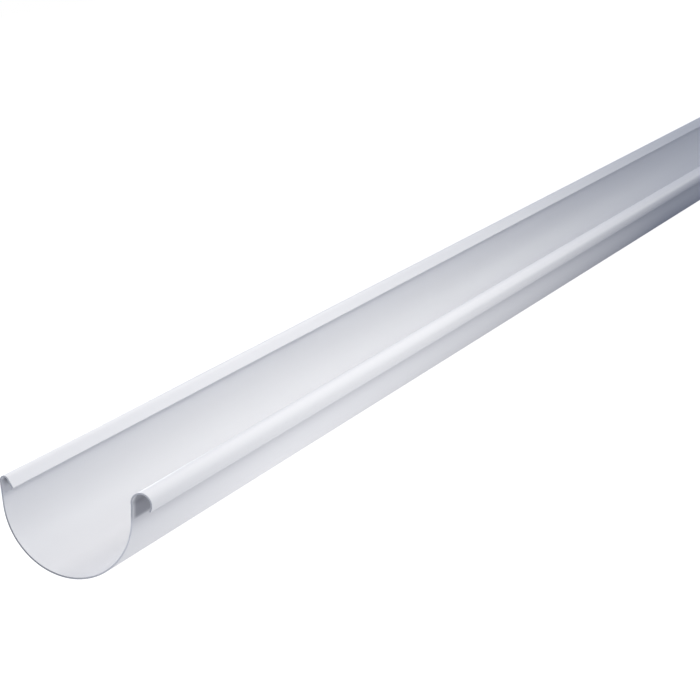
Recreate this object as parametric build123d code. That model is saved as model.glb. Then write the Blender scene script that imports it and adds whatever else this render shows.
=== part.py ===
from build123d import *
import math
import os

# Half-round rainwater gutter: one extruded length of rigid PVC, in millimetres.
# X runs along the gutter, the front with its round bead faces -Y, the rear faces +Y, Z is up.
# The gutter lies unheld on a level floor, so it leans a little towards its heavier front.
# The origin is on the floor, under the middle of the gutter's bounding box.

# Stock
gutter_length = 3000.0
wall = 1.5

# Bowl: the round channel, named by its inside width
bowl_inside_width = 125.0

# Rear edge: an upright wall, a tight bend and a lip that slopes down into the channel
rear_upstand = 21.0
rear_bend_inside_radius = 3.25
rear_bend_angle = 153.0
rear_lip_run = 8.6

# Front edge: a wall that leans out, a neck that brings it upright, a bead rolled outwards
front_lean = 8.0
front_wall_run = 10.3
neck_inside_radius = 21.25
bead_inside_radius = 8.75
bead_wrap = 217.5

# Radii of the mid line, halfway through the wall
half_wall = wall / 2
bowl_radius = bowl_inside_width / 2 + half_wall
rear_bend_radius = rear_bend_inside_radius + half_wall
neck_radius = neck_inside_radius + half_wall
bead_radius = bead_inside_radius + half_wall


def rear_edge(start):
    """Mid line of the rear edge: up the wall, over the bend and down along the lip."""
    upstand = Line(start, start + Vector(0, rear_upstand))
    bend = JernArc(upstand @ 1, upstand % 1, rear_bend_radius, rear_bend_angle)
    lip = Line(bend @ 1, bend @ 1 + (bend % 1) * rear_lip_run)
    return [upstand, bend, lip]


def bowl_and_front_edge(start):
    """Mid line from the bowl's rear side down, round, up the front wall and along the bead."""
    bowl = JernArc(start, (0, -1), bowl_radius, front_lean - 180)
    front_wall = Line(bowl @ 1, bowl @ 1 + (bowl % 1) * front_wall_run)
    neck = JernArc(front_wall @ 1, front_wall % 1, neck_radius, -front_lean)
    bead = JernArc(neck @ 1, neck % 1, bead_radius, bead_wrap)
    return [bowl, front_wall, neck, bead]


def upright_section():
    """Section with the bowl's centre at the origin: the wall lies half to each side of its
    mid line, and both free edges are fully round."""
    bowl_rear_side = Vector(bowl_radius, 0)
    mid_line = Wire(rear_edge(bowl_rear_side) + bowl_and_front_edge(bowl_rear_side))
    return make_face(offset(mid_line, amount=half_wall, kind=Kind.ARC))


def lying_section(section):
    """Section turned until its centroid is straight under the bowl's centre, where the round
    bottom comes to rest, then set down on the floor and centred."""
    centroid = section.center(CenterOf.MASS)
    lean = math.degrees(math.atan2(-centroid.X, -centroid.Y))
    leaning = Rot(Z=lean) * section
    box = leaning.bounding_box()
    return Pos(-box.center().X, -box.min.Y) * leaning


gutter = extrude(Plane.YZ * lying_section(upright_section()), amount=gutter_length / 2, both=True)

os.makedirs("parts", exist_ok=True)
export_step(gutter, "parts/gutter.step")
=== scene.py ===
import math

import bpy
import numpy as np
from mathutils import Matrix, Vector


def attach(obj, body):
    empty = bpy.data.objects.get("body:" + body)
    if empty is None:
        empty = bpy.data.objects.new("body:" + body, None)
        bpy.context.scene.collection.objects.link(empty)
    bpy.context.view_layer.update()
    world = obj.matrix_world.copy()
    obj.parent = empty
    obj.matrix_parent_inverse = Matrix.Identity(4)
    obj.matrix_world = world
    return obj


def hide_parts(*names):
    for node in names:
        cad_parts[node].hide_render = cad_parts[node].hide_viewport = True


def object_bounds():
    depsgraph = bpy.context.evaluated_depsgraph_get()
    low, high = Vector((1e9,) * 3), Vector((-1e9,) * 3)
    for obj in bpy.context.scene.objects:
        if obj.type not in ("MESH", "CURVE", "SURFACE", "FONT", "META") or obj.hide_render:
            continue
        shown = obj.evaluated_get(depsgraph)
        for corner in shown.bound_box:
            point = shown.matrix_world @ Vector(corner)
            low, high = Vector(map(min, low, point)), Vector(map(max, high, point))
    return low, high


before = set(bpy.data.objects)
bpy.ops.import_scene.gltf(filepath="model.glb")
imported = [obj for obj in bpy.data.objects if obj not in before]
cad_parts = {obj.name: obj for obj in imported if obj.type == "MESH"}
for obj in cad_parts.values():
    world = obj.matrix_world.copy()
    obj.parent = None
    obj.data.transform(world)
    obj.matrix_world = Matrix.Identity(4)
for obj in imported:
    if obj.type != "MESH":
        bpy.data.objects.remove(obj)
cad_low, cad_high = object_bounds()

# Half-round rainwater gutter in white rigid PVC, in metres.
# X runs along the gutter, the front bead faces -Y, the rear lip +Y, Z is up.
# The near end, which the camera looks at, is at -X.

# Section of the extruded wall, at its real size
WALL = 0.0015
BOWL_INSIDE_WIDTH = 0.125
REAR_UPSTAND = 0.021
REAR_BEND_INSIDE_RADIUS = 0.00325
REAR_BEND_ANGLE = math.radians(153.0)
REAR_LIP_RUN = 0.0086
FRONT_LEAN = math.radians(8.0)
FRONT_WALL_RUN = 0.0103
NECK_INSIDE_RADIUS = 0.02125
BEAD_INSIDE_RADIUS = 0.00875
BEAD_WRAP = math.radians(217.5)

HALF_WALL = WALL / 2
BOWL_RADIUS = BOWL_INSIDE_WIDTH / 2 + HALF_WALL
REAR_BEND_RADIUS = REAR_BEND_INSIDE_RADIUS + HALF_WALL
NECK_RADIUS = NECK_INSIDE_RADIUS + HALF_WALL
BEAD_RADIUS = BEAD_INSIDE_RADIUS + HALF_WALL

# How finely the surface is drawn: about the length of a step round the section's bends and along
# its straights, the fewest steps in any of them, the steps from a free edge's tip to its flank,
# and the spacing of the stations along the gutter. The skin between the stations is quads, and
# edges sharper than the angle are shaded sharp
BEND_STEP = 0.0009
STRAIGHT_STEP = 0.0036
FEWEST_STEPS = 6
NOSE_STEPS = 5
STATION_SPACING = 0.03
QUAD_CORNERS = 4
SHARP_ANGLE = math.radians(30.0)

# The saw leaves a small broken edge at both ends
EDGE_BREAK = 0.00018

# Painted shade: a darker grey with a duller gloss where shade falls inside the bead, behind it and
# under the lip. Down the rear wall it is full to the first depth below the bend and gone at the
# second. At the front wall's foot it rises to a little less than full, over the blur's length to
# each side. Inwards from a sawn end it begins at the first distance and is all there at the second
REAR_SHADE_DEPTHS = (0.001, 0.0055)
FRONT_SHADE = 0.83
FRONT_SHADE_BLUR = 0.0008
END_SHADE = (0.0015, 0.0065)

# Colours of the finish, with its painted shade and painted light: red, green, blue and opacity
PVC_WHITE = (0.790, 0.798, 0.820, 1.0)
PVC_STREAK_WHITE = (0.810, 0.818, 0.840, 1.0)
# painted shade: the darker grey inside the bead, behind it and under the lip
PAINTED_SHADE_GREY = (0.300, 0.310, 0.355, 1.0)
# sawn faces: a grey that is partly painted shade, then the painted light that pales it at the top
# and low at the front
SAWN_GREY_AND_SHADE = (0.28, 0.29, 0.32, 1.0)
SAWN_TOP_PAINTED_LIGHT = (0.51, 0.52, 0.55, 1.0)
SAWN_FRONT_PAINTED_LIGHT = (0.76, 0.77, 0.80, 1.0)

# Where painted light makes the sawn grey paler: from the first to the second height up the
# section, and from the rear place to the front one. The front's paleness is whole below the lower
# of its heights, and above the other this share of it is left
SAWN_TOP_LIGHT_HEIGHTS = (0.05, 0.075)
SAWN_LIGHT_REAR_TO_FRONT = (0.035, -0.045)
SAWN_FRONT_LIGHT_HEIGHTS = (0.054, 0.046)
SAWN_FRONT_LIGHT_ABOVE = 0.38

# Scales of the marks, in cells of noise per metre: across and along on the surface map, or
# along X, Y and Z. Then the noise's detail, and the middle of its values, which is spread from
# nothing to full
DIE_LINE_SCALE = (260.0, 0.35, 1.0)
STREAK_SCALE = (60.0, 1.3, 1.0)
MOTTLE_SCALE = (5.0, 22.0, 22.0)
SAW_MARK_SCALE = (300.0, 500.0, 9000.0)
NOISE_DETAIL = 2.0
NOISE_MIDDLE = (0.2, 0.8)

# Gloss and relief of the finish
PVC_IOR = 1.53
SKIN_ROUGHNESS = (0.30, 0.38)
# duller gloss where the shade is painted
PAINTED_SHADE_ROUGHNESS = 0.6
SAWN_ROUGHNESS = 0.75
MARK_STRENGTH = 0.2
MARK_HEIGHT = 0.00003

# Floor: half its width, its colour, and its glow, which is strong at a place under the near end
# and faint beyond its reach along and across
FLOOR_HALF_WIDTH = 60.0
FLOOR_GREY = (0.20, 0.20, 0.20, 1.0)
GLOW_PLACE = (-1.2, -0.03, 0.0)
GLOW_REACH = (1.2, 0.38, 1.0)
FAINT_GLOW = (0.104, 0.117, 0.159, 1.0)
STRONG_GLOW = (0.811, 0.807, 0.825, 1.0)

# Light of the sky, and what the camera sees around the gutter
SKY = (0.326, 0.360, 0.451, 1.0)
WHITE = (1.0, 1.0, 1.0, 1.0)

# Soft lights, most of them round the near half: name, place, the place it faces, width and
# height, power in watts and colour. The cards are small. The rear one draws the bright line on
# the bead, the far one lights the bead's far half, and the one beyond the near end lights the
# channel at the cut
STUDIO_LIGHTS = (
    ("overhead", (-1.0, 0.0, 1.2), (-1.0, 0.0, 0.0), (1.6, 0.8), 7.9, (1.0, 0.953, 0.885)),
    ("front_high", (-1.05, -0.8, 1.1), (-1.05, 0.0, 0.06), (1.2, 0.8), 3.75, (1.0, 0.898, 0.697)),
    ("front", (-1.05, -1.0, 0.6), (-1.05, 0.0, 0.06), (0.5, 0.4), 4.7, (1.0, 0.988, 0.932)),
    ("rear_card", (-0.53, 0.64, 0.33), (-1.45, -0.06, 0.07), (0.2, 0.4), 0.65, (1.0, 1.0, 1.0)),
    ("far_card", (1.2, -0.55, 0.35), (-0.2, -0.06, 0.06), (0.4, 0.4), 0.52, (0.985, 1.0, 0.885)),
    ("end_card", (-2.0, 0.45, 0.25), (-1.5, -0.02, 0.02), (0.25, 0.25), 0.95, (1.0, 1.0, 1.0)),
)

# The camera stands low in front of the near end and looks along the gutter
CAMERA_PLACE = Vector((-2.99783, -1.05993, 0.48268))
CAMERA_TARGET = Vector((-1.25217, -0.15159, 0.12548))
CAMERA_ROLL = math.radians(-10.4277)
CAMERA_LENS_MM = 114.557
SENSOR_WIDTH_MM = 36.0
CAMERA_NEAREST = 0.05
CAMERA_FURTHEST = 200.0


def straight_run(start, heading, run):
    """Mid line of a straight stretch: start plus the heading's unit vector times the distance,
    from nothing to the run. Gives the points and their headings."""
    steps = max(FEWEST_STEPS, round(run / STRAIGHT_STEP))
    distance = np.linspace(0.0, run, steps + 1)
    points = start + distance[:, None] * np.array([math.cos(heading), math.sin(heading)])
    return points, np.full(steps + 1, heading)


def round_bend(start, heading, radius, turn):
    """Mid line of an arc: its centre is one radius to the side it turns to, and a point is the
    centre plus the radius times the unit vector square to the heading, while the heading goes
    evenly from its first value through the turn. Gives the points and their headings."""
    steps = max(FEWEST_STEPS, round(abs(turn) * radius / BEND_STEP))
    headings = heading + np.linspace(0.0, turn, steps + 1)
    side = math.copysign(1.0, turn)
    centre = start + side * radius * np.array([-math.sin(heading), math.cos(heading)])
    outward = side * np.stack([np.sin(headings), -np.cos(headings)], axis=1)
    return centre + radius * outward, headings


def joined(stretches):
    """Several stretches one after the other, each without the point it shares with the one
    before it."""
    points = np.concatenate([stretches[0][0]] + [p[1:] for p, _ in stretches[1:]])
    headings = np.concatenate([stretches[0][1]] + [h[1:] for _, h in stretches[1:]])
    return points, headings


def mid_line():
    """Mid line of the wall with the bowl's centre at the origin, across then up, from the rear
    lip's free edge over the rear wall, round the bowl and up to the free edge of the bead.
    Gives the points and their headings."""
    rear_side = np.array([BOWL_RADIUS, 0.0])
    upstand = straight_run(rear_side, math.pi / 2, REAR_UPSTAND)
    bend = round_bend(upstand[0][-1], upstand[1][-1], REAR_BEND_RADIUS, REAR_BEND_ANGLE)
    lip = straight_run(bend[0][-1], bend[1][-1], REAR_LIP_RUN)
    rear_points, rear_headings = joined([upstand, bend, lip])
    # the rear edge is walked backwards, so its headings turn half round
    rear = rear_points[::-1], rear_headings[::-1] + math.pi
    bowl = round_bend(rear_side, -math.pi / 2, BOWL_RADIUS, FRONT_LEAN - math.pi)
    front_wall = straight_run(bowl[0][-1], bowl[1][-1], FRONT_WALL_RUN)
    neck = round_bend(front_wall[0][-1], front_wall[1][-1], NECK_RADIUS, -FRONT_LEAN)
    bead = round_bend(neck[0][-1], neck[1][-1], BEAD_RADIUS, BEAD_WRAP)
    return joined([rear, bowl, front_wall, neck, bead])


def with_round_noses(points, headings):
    """Adds a half-round nose to both free edges. At an angle round the nose the wall reaches
    half its thickness times the cosine beyond the edge, and its half width is half the
    thickness times the sine. Gives points, headings, reach and half widths."""
    angles = np.linspace(0.0, math.pi / 2, NOSE_STEPS + 1)[:-1]
    reach = HALF_WALL * np.cos(angles)
    width = HALF_WALL * np.sin(angles)
    all_points = np.concatenate([np.repeat(points[:1], NOSE_STEPS, axis=0), points,
                                 np.repeat(points[-1:], NOSE_STEPS, axis=0)])
    all_headings = np.concatenate([np.repeat(headings[:1], NOSE_STEPS), headings,
                                   np.repeat(headings[-1:], NOSE_STEPS)])
    all_reach = np.concatenate([-reach, np.zeros(len(points)), reach[::-1]])
    all_widths = np.concatenate([width, np.full(len(points), HALF_WALL), width[::-1]])
    return all_points, all_headings, all_reach, all_widths


def wall_sides(inset):
    """The wall's outer and inner face: the mid line plus and minus the half width, square to it.
    Reach and half width both shrink to the share of the half wall that the inset leaves."""
    points, headings, reach, widths = with_round_noses(*mid_line())
    along = np.stack([np.cos(headings), np.sin(headings)], axis=1)
    across = np.stack([-np.sin(headings), np.cos(headings)], axis=1)
    share = 1.0 - inset / HALF_WALL
    centre = points + along * (reach * share)[:, None]
    offset = across * (widths * share)[:, None]
    return centre + offset, centre - offset


def section_outline(inset):
    """The section's closed outline: the outer face from the lip to the bead and the inner one
    back. The two faces share the tips of the noses."""
    outer, inner = wall_sides(inset)
    return np.concatenate([outer, inner[-2:0:-1]])


def lying_on_floor(outline):
    """Turns an outline until the full section's centroid is straight under the bowl's centre,
    then moves it so that the full section stands on the floor and is centred. The centroid is
    the sum over all edges of each triangle's centre times its area, seen from the bowl's
    centre, over the whole area."""
    now = section_outline(0.0)
    after = np.roll(now, -1, axis=0)
    area = now[:, 0] * after[:, 1] - after[:, 0] * now[:, 1]
    centroid = ((now + after) * area[:, None]).sum(axis=0) / (3 * area.sum())
    lean = math.atan2(-centroid[0], -centroid[1])
    turn = np.array([[math.cos(lean), math.sin(lean)], [-math.sin(lean), math.cos(lean)]])
    turned = now @ turn
    least, most = turned.min(axis=0), turned.max(axis=0)
    return outline @ turn - np.array([(least[0] + most[0]) / 2, least[1]])


def distances_round(outline):
    """Distance walked round the outline up to each point, and last its full length."""
    steps = np.linalg.norm(np.diff(outline, axis=0, append=outline[:1]), axis=1)
    return np.concatenate([[0.0], np.cumsum(steps)])


def gutter_mesh(half_length):
    """The outline carried along X: a vertex is the outline's point at a station along the
    gutter. The first and last stations are the sawn faces, with the outline drawn in by the
    edge break. Each sawn face is a strip of quads across the wall, with a triangle at each tip.
    Gives the mesh, how many stations it has, the distances walked round the outline and how
    many faces the skin between the sawn faces has."""
    full = lying_on_floor(section_outline(0.0))
    drawn_in = lying_on_floor(section_outline(EDGE_BREAK))
    between = np.linspace(-half_length + EDGE_BREAK, half_length - EDGE_BREAK,
                          round(2 * half_length / STATION_SPACING) + 1)
    stations = np.concatenate([[-half_length], between, [half_length]])
    ring_size = len(full)
    station_count = len(stations)
    outlines = np.repeat(full[None], station_count, axis=0)
    outlines[0] = drawn_in
    outlines[-1] = drawn_in
    vertices = np.concatenate([np.repeat(stations, ring_size)[:, None],
                               outlines.reshape(-1, 2)], axis=1)

    station, point = np.meshgrid(np.arange(station_count - 1), np.arange(ring_size), indexing="ij")
    here = station * ring_size
    beyond = here + ring_size
    after = (point + 1) % ring_size
    skin = np.stack([here + point, here + after, beyond + after, beyond + point], axis=-1)
    skin = skin.reshape(-1, QUAD_CORNERS)

    # the strip goes from the lip's tip to the bead's, two corners of a quad on each wall face,
    # and at a tip two corners are one, which leaves a triangle
    outer = np.arange(ring_size // 2 + 1)
    inner = (ring_size - outer) % ring_size
    strip = np.stack([outer[:-1], inner[:-1], inner[1:], outer[1:]], axis=1)
    near_face = strip.tolist()
    far_face = (strip[:, ::-1] + (station_count - 1) * ring_size).tolist()
    sawn_faces = [list(dict.fromkeys(corners)) for corners in near_face + far_face]

    mesh = bpy.data.meshes.new("gutter_profile")
    mesh.from_pydata(vertices.tolist(), [], skin.tolist() + sawn_faces)
    return mesh, station_count, distances_round(full), len(skin)


def smooth_rise(value, start, full):
    """Nothing up to the start, one from the full value on, and between them three times the
    square less twice the cube of the share of the way."""
    share = np.clip((value - start) / (full - start), 0.0, 1.0)
    return share * share * (3.0 - 2.0 * share)


def painted_shade_round_outline():
    """How much painted shade each outline point has, by the distance walked along the mid line
    from the lip's free edge. On the inner face it is one under the lip and in its bend, and falls
    smoothly down the rear wall. On the outer face it rises smoothly at the front wall's foot and
    stays so round the inside of the bead."""
    points, _, _, _ = with_round_noses(*mid_line())
    walked = np.concatenate([[0.0], np.cumsum(np.linalg.norm(np.diff(points, axis=0), axis=1))])
    wall_top = REAR_LIP_RUN + REAR_BEND_RADIUS * REAR_BEND_ANGLE
    front_foot = wall_top + REAR_UPSTAND + BOWL_RADIUS * (math.pi - FRONT_LEAN)
    full_depth, no_depth = REAR_SHADE_DEPTHS
    inner = 1.0 - smooth_rise(walked, wall_top + full_depth, wall_top + no_depth)
    outer = FRONT_SHADE * smooth_rise(walked, front_foot - FRONT_SHADE_BLUR,
                                        front_foot + FRONT_SHADE_BLUR)
    return np.concatenate([outer, inner[-2:0:-1]])


def mark_painted_shade(mesh, station_count):
    """Attribute with how much painted shade each vertex has: the outline's values, the same at
    every station."""
    attribute = mesh.attributes.new("painted_shade_share", "FLOAT", "POINT")
    shade_share = np.tile(painted_shade_round_outline(), station_count)
    attribute.data.foreach_set("value", shade_share.astype(np.float32))


def mark_sawn_ends(mesh, skin_count, ring_size):
    """Attribute that is one on the sawn faces and on their broken edges, which are the first and
    the last ring of the skin, and nothing on the rest of it."""
    sawn = np.zeros(len(mesh.polygons), dtype=np.float32)
    sawn[:ring_size] = 1.0
    sawn[skin_count - ring_size:] = 1.0
    attribute = mesh.attributes.new("sawn", "FLOAT", "FACE")
    attribute.data.foreach_set("value", sawn)


def lay_surface_map(mesh, walked, skin_count):
    """UV map in metres: across is the distance walked round the outline, up is the place along
    the gutter. On a sawn face it is the plain place across and up."""
    ring_size = len(walked) - 1
    loops = np.zeros(len(mesh.loops), dtype=np.int64)
    mesh.loops.foreach_get("vertex_index", loops)
    place = np.zeros(len(mesh.vertices) * 3)
    mesh.vertices.foreach_get("co", place)
    place = place.reshape(-1, 3)
    skin_loops = skin_count * QUAD_CORNERS
    order = np.arange(len(loops))
    corner = order % QUAD_CORNERS
    column = loops % ring_size
    # the second and third corners of the last column close the outline at its full length
    closes = (column == 0) & (order < skin_loops) & ((corner == 1) | (corner == 2))
    across = np.where(closes, walked[-1], walked[column])
    uv = np.stack([across, place[loops, 0]], axis=1)
    uv[skin_loops:] = place[loops[skin_loops:], 1:]
    layer = mesh.uv_layers.new(name="surface")
    layer.data.foreach_set("uv", uv.astype(np.float32).ravel())


class Shader:
    """Small help for building the nodes of a material or a world."""

    def __init__(self, owner):
        owner.use_nodes = True
        self.tree = owner.node_tree

    def node(self, kind, **values):
        """A new node of a kind, with these values."""
        made = self.tree.nodes.new(kind)
        for key, value in values.items():
            setattr(made, key, value)
        return made

    def link(self, source, target):
        """Leads a node's output to another node's input."""
        self.tree.links.new(source, target)


def marks(shader, coordinates, scale):
    """Noise at the coordinates times the scale: its marks are long the way the scale is small,
    and close together the way it is large."""
    mapping = shader.node("ShaderNodeMapping")
    mapping.inputs["Scale"].default_value = scale
    shader.link(coordinates, mapping.inputs["Vector"])
    noise = shader.node("ShaderNodeTexNoise")
    noise.inputs["Scale"].default_value = 1.0
    noise.inputs["Detail"].default_value = NOISE_DETAIL
    shader.link(mapping.outputs["Vector"], noise.inputs["Vector"])
    return noise.outputs["Fac"]


def ramp(shader, value, span, result=(0.0, 1.0)):
    """The value taken in proportion from a span onto the result's, and held at its ends."""
    node = shader.node("ShaderNodeMapRange")
    node.inputs["From Min"].default_value, node.inputs["From Max"].default_value = span
    node.inputs["To Min"].default_value, node.inputs["To Max"].default_value = result
    shader.link(value, node.inputs["Value"])
    return node.outputs["Result"]


def mixed(shader, kind, factor, first, second):
    """First at factor nothing, second at factor one, and between them in proportion. Each is a
    plain value or another node's output."""
    node = shader.node("ShaderNodeMix", data_type=kind)
    shader.link(factor, node.inputs["Factor"])
    for name, value in (("A", first), ("B", second)):
        if isinstance(value, bpy.types.NodeSocket):
            shader.link(value, node.inputs[name])
        else:
            node.inputs[name].default_value = value
    return node.outputs["Result"]


def product(shader, first, second):
    """First times second."""
    node = shader.node("ShaderNodeMath", operation="MULTIPLY")
    shader.link(first, node.inputs[0])
    shader.link(second, node.inputs[1])
    return node.outputs["Value"]


def sawn_grey_with_painted_light(shader, place):
    """Colour of the sawn faces: grey, partly painted shade, with painted light that makes it paler
    towards the top of the section and palest low on its front side. How much of the front's
    paleness there is, is how far forward the place is times how low it is."""
    top = ramp(shader, place.outputs["Z"], SAWN_TOP_LIGHT_HEIGHTS)
    forward = ramp(shader, place.outputs["Y"], SAWN_LIGHT_REAR_TO_FRONT)
    low_down = ramp(shader, place.outputs["Z"], SAWN_FRONT_LIGHT_HEIGHTS, (SAWN_FRONT_LIGHT_ABOVE, 1.0))
    grey = mixed(shader, "RGBA", top, SAWN_GREY_AND_SHADE, SAWN_TOP_PAINTED_LIGHT)
    return mixed(shader, "RGBA", product(shader, forward, low_down), grey, SAWN_FRONT_PAINTED_LIGHT)


def white_pvc(half_length):
    """Smooth extruded white PVC: a cool white with faint long streaks and a soft gloss broken by
    die lines. Inside the bead, behind it and under the lip it has painted shade: a darker grey,
    with a duller gloss. The sawn faces and their broken edges are dull, with saw marks, and grey,
    which is partly painted shade; painted light makes them paler towards the top and low on the
    front side."""
    material = bpy.data.materials.new("white_pvc")
    shader = Shader(material)
    surface = shader.tree.nodes["Principled BSDF"]
    surface_map = shader.node("ShaderNodeUVMap", uv_map="surface").outputs["UV"]
    solid = shader.node("ShaderNodeTexCoord").outputs["Object"]
    die_lines = marks(shader, surface_map, DIE_LINE_SCALE)
    broad_streaks = marks(shader, surface_map, STREAK_SCALE)
    mottle = marks(shader, solid, MOTTLE_SCALE)
    saw_marks = marks(shader, solid, SAW_MARK_SCALE)

    place = shader.node("ShaderNodeSeparateXYZ")
    shader.link(solid, place.inputs["Vector"])
    from_middle = shader.node("ShaderNodeMath", operation="ABSOLUTE")
    shader.link(place.outputs["X"], from_middle.inputs[0])
    # painted shade: the share from the attribute, fading out towards the sawn ends
    inwards = ramp(shader, from_middle.outputs["Value"],
                   (half_length - END_SHADE[0], half_length - END_SHADE[1]))
    shade_share = shader.node("ShaderNodeAttribute", attribute_name="painted_shade_share").outputs["Fac"]
    painted_shade = product(shader, shade_share, inwards)
    sawn = shader.node("ShaderNodeAttribute", attribute_name="sawn").outputs["Fac"]

    skin = mixed(shader, "RGBA", ramp(shader, broad_streaks, NOISE_MIDDLE),
                 PVC_WHITE, PVC_STREAK_WHITE)
    # painted shade: the skin turns darker grey where the share is
    skin = mixed(shader, "RGBA", painted_shade, skin, PAINTED_SHADE_GREY)
    # the sawn faces take their grey with its painted shade and painted light
    colour = mixed(shader, "RGBA", sawn, skin, sawn_grey_with_painted_light(shader, place))
    shader.link(colour, surface.inputs["Base Color"])

    gloss = ramp(shader, mottle, NOISE_MIDDLE, SKIN_ROUGHNESS)
    gloss = mixed(shader, "FLOAT", painted_shade, gloss, PAINTED_SHADE_ROUGHNESS)
    gloss = mixed(shader, "FLOAT", sawn, gloss, SAWN_ROUGHNESS)
    shader.link(gloss, surface.inputs["Roughness"])

    relief = shader.node("ShaderNodeBump")
    relief.inputs["Strength"].default_value = MARK_STRENGTH
    relief.inputs["Distance"].default_value = MARK_HEIGHT
    shader.link(mixed(shader, "FLOAT", sawn, die_lines, saw_marks), relief.inputs["Height"])
    shader.link(relief.outputs["Normal"], surface.inputs["Normal"])
    surface.inputs["IOR"].default_value = PVC_IOR
    return material


def make_gutter():
    """The gutter as one piece with its finish, in place of the CAD node."""
    half_length = (cad_high.x - cad_low.x) / 2
    mesh, station_count, walked, skin_count = gutter_mesh(half_length)
    lay_surface_map(mesh, walked, skin_count)
    mark_sawn_ends(mesh, skin_count, len(walked) - 1)
    mark_painted_shade(mesh, station_count)
    mesh.shade_smooth()
    mesh.set_sharp_from_angle(angle=SHARP_ANGLE)
    mesh.materials.append(white_pvc(half_length))
    gutter = bpy.data.objects.new("gutter_profile", mesh)
    bpy.context.scene.collection.objects.link(gutter)
    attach(gutter, "root")
    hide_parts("gutter")


def white_to_camera(shader, light):
    """Plain white for the camera, and the given colour for everything it lights."""
    path = shader.node("ShaderNodeLightPath")
    return mixed(shader, "RGBA", path.outputs["Is Camera Ray"], light, WHITE)


def floor_finish():
    """Quite dull, throwing back a fifth of the light, and evenly white to the camera. It glows
    like a light table: faintly beyond the glow's reach, and stronger inside it by one less the
    share of the reach that lies between a point and the glow's place."""
    material = bpy.data.materials.new("pale_floor")
    shader = Shader(material)
    surface = shader.tree.nodes["Principled BSDF"]
    surface.inputs["Base Color"].default_value = FLOOR_GREY
    surface.inputs["Roughness"].default_value = 1.0
    surface.inputs["Specular IOR Level"].default_value = 0.0
    solid = shader.node("ShaderNodeTexCoord").outputs["Object"]
    from_glow = shader.node("ShaderNodeMapping", vector_type="TEXTURE")
    from_glow.inputs["Location"].default_value = GLOW_PLACE
    from_glow.inputs["Scale"].default_value = GLOW_REACH
    shader.link(solid, from_glow.inputs["Vector"])
    nearness = shader.node("ShaderNodeTexGradient", gradient_type="SPHERICAL")
    shader.link(from_glow.outputs["Vector"], nearness.inputs["Vector"])
    glow = mixed(shader, "RGBA", nearness.outputs["Fac"], FAINT_GLOW, STRONG_GLOW)
    shader.link(white_to_camera(shader, glow), surface.inputs["Emission Color"])
    surface.inputs["Emission Strength"].default_value = 1.0
    material.cycles.emission_sampling = "NONE"
    return material


def make_floor():
    """A wide plain floor: a square round the origin, half its width to each side."""
    mesh = bpy.data.meshes.new("floor")
    corners = np.array([[-1, -1, 0], [1, -1, 0], [1, 1, 0], [-1, 1, 0]]) * FLOOR_HALF_WIDTH
    mesh.from_pydata(corners.tolist(), [], [(0, 1, 2, 3)])
    mesh.materials.append(floor_finish())
    floor = bpy.data.objects.new("floor", mesh)
    bpy.context.scene.collection.objects.link(floor)


def make_light(name, place, target, size, power, colour):
    """A soft rectangular light at a place, facing a target, which the camera doesn't see."""
    light = bpy.data.lights.new(name, "AREA")
    light.shape = "RECTANGLE"
    light.size, light.size_y = size
    light.energy = power
    light.color = colour
    lamp = bpy.data.objects.new(name, light)
    lamp.location = place
    facing = Vector(target) - Vector(place)
    lamp.rotation_mode = "QUATERNION"
    lamp.rotation_quaternion = facing.to_track_quat("-Z", "Y")
    lamp.visible_camera = False
    bpy.context.scene.collection.objects.link(lamp)


def make_studio():
    """The studio's lights and an even sky, with colours shown as they are."""
    for light in STUDIO_LIGHTS:
        make_light(*light)
    world = bpy.data.worlds.new("studio")
    shader = Shader(world)
    background = shader.tree.nodes["Background"]
    shader.link(white_to_camera(shader, SKY), background.inputs["Color"])
    bpy.context.scene.world = world
    bpy.context.scene.view_settings.view_transform = "Standard"


def make_camera():
    """The camera at the photograph's viewing angle: held level towards its target, then rolled
    about its own line of sight."""
    data = bpy.data.cameras.new("camera")
    data.sensor_fit = "HORIZONTAL"
    data.sensor_width = SENSOR_WIDTH_MM
    data.lens = CAMERA_LENS_MM
    data.clip_start = CAMERA_NEAREST
    data.clip_end = CAMERA_FURTHEST
    data.dof.use_dof = False
    camera = bpy.data.objects.new("camera", data)
    level = (CAMERA_TARGET - CAMERA_PLACE).to_track_quat("-Z", "Y").to_matrix().to_4x4()
    camera.matrix_world = (Matrix.Translation(CAMERA_PLACE) @ level
                           @ Matrix.Rotation(CAMERA_ROLL, 4, "Z"))
    bpy.context.scene.collection.objects.link(camera)
    bpy.context.scene.camera = camera


make_gutter()
make_floor()
make_studio()
make_camera()
